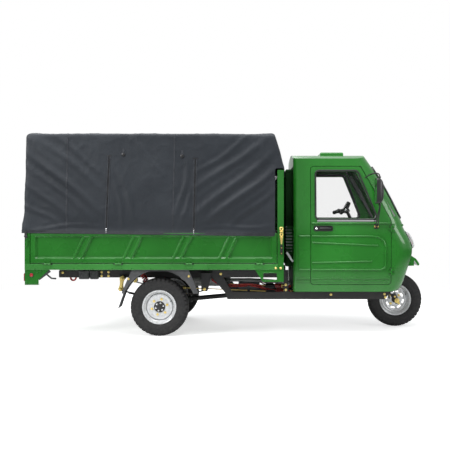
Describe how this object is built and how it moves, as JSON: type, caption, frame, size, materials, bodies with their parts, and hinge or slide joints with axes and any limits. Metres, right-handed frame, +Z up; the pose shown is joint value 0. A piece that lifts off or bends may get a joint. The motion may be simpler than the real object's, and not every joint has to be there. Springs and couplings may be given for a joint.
{
  "type": "cargo auto rickshaw",
  "caption": "Three-wheeled cargo vehicle with a closed cab over a steered front wheel and a dropside load bed under a tarpaulin canopy.",
  "frame": {"origin": "on the ground under the centre of the vehicle's box", "axes": "+X forward, +Y to the vehicle's left, +Z up"},
  "size_m": [3.98, 1.54, 1.968],
  "materials": {
    "green_paint": "gloss",
    "black_paint": "satin",
    "canvas": "coated weave",
    "tyre_rubber": "matte",
    "wheel_silver": "satin",
    "zinc": "plated",
    "clear_glass": "clear",
    "lamp_lens": "ribbed",
    "seat_vinyl": "grained vinyl",
    "black_plastic": "grained",
    "grey_plastic": "grained",
    "red_paint": "gloss",
    "engine_alloy": "cast",
    "tail_red": "moulded lens",
    "spring_steel": "oiled"
  },
  "bodies": {
    "chassis": {"cab_roof": "green_paint", "cab_front": "green_paint", "cab_back": "green_paint", "cab_side_right": "green_paint", "cab_side_left": "green_paint", "cab_floor": "black_paint", "wheel_arch": "black_paint", "windscreen": "clear_glass", "rear_window": "clear_glass", "headlamps": "lamp_lens", "seat": "seat_vinyl", "dashboard": "grey_plastic", "front_mudguard": "green_paint", "bed_sills": "green_paint", "bed_bearers": "black_paint", "bed_floor": "green_paint", "corner_posts": "green_paint", "headboard": "green_paint", "front_brackets": "green_paint", "board_latches": "zinc", "canopy": "canvas", "canopy_roof_frame": "black_paint", "canopy_legs": "black_paint", "frame_rails": "black_paint", "frame_crossmembers": "black_paint", "steering_head": "black_paint", "head_struts": "black_paint", "engine": "engine_alloy", "rear_axle": "black_paint", "leaf_springs": "spring_steel", "spring_shackles": "zinc", "shock_absorbers": "red_paint", "rear_fenders": "grey_plastic", "tow_eye": "red_paint", "tail_lamps": "tail_red"},
    "steering": {"front_fork": "black_paint", "handlebar": "black_plastic"},
    "front_wheel": {"front_tyre": "tyre_rubber", "front_rim": "wheel_silver"},
    "rear_wheel_left": {"rear_tyre_left": "tyre_rubber", "rear_rim_left": "wheel_silver"},
    "rear_wheel_right": {"rear_tyre_right": "tyre_rubber", "rear_rim_right": "wheel_silver"},
    "left_door": {"door_left": "green_paint", "door_glass_left": "clear_glass", "door_fittings_left": "black_plastic"},
    "right_door": {"door_right": "green_paint", "door_glass_right": "clear_glass", "door_fittings_right": "black_plastic"},
    "left_board": {"side_board_left": "green_paint"},
    "right_board": {"side_board_right": "green_paint"},
    "rear_board": {"tailgate": "green_paint"}
  },
  "joints": [
    {"name": "steer", "type": "hinge", "parent": "chassis", "child": "steering", "pos_m": [1.66935, 0, 0.26315], "axis": [-0.4384, 0, 0.8988], "range_deg": [-40, 40]},
    {"name": "front_wheel_spin", "type": "hinge", "parent": "steering", "child": "front_wheel", "pos_m": [1.708, 0, 0.282], "axis": [0, 1, 0], "continuous": true},
    {"name": "rear_wheel_left_spin", "type": "hinge", "parent": "chassis", "child": "rear_wheel_left", "pos_m": [-0.69, 0.6, 0.282], "axis": [0, 1, 0], "continuous": true},
    {"name": "rear_wheel_right_spin", "type": "hinge", "parent": "chassis", "child": "rear_wheel_right", "pos_m": [-0.69, -0.6, 0.282], "axis": [0, 1, 0], "continuous": true},
    {"name": "door_left_swing", "type": "hinge", "parent": "chassis", "child": "left_door", "pos_m": [1.5635, 0.614, 1], "axis": [0, 0, -1], "range_deg": [0, 65]},
    {"name": "door_right_swing", "type": "hinge", "parent": "chassis", "child": "right_door", "pos_m": [1.5635, -0.614, 1], "axis": [0, 0, 1], "range_deg": [0, 65]},
    {"name": "board_left_drop", "type": "hinge", "parent": "chassis", "child": "left_board", "pos_m": [-0.7, 0.737, 0.706], "axis": [-1, 0, 0], "range_deg": [0, 170]},
    {"name": "board_right_drop", "type": "hinge", "parent": "chassis", "child": "right_board", "pos_m": [-0.7, -0.737, 0.706], "axis": [1, 0, 0], "range_deg": [0, 170]},
    {"name": "tailgate_drop", "type": "hinge", "parent": "chassis", "child": "rear_board", "pos_m": [-1.977, 0, 0.706], "axis": [0, -1, 0], "range_deg": [0, 170]}
  ]
}
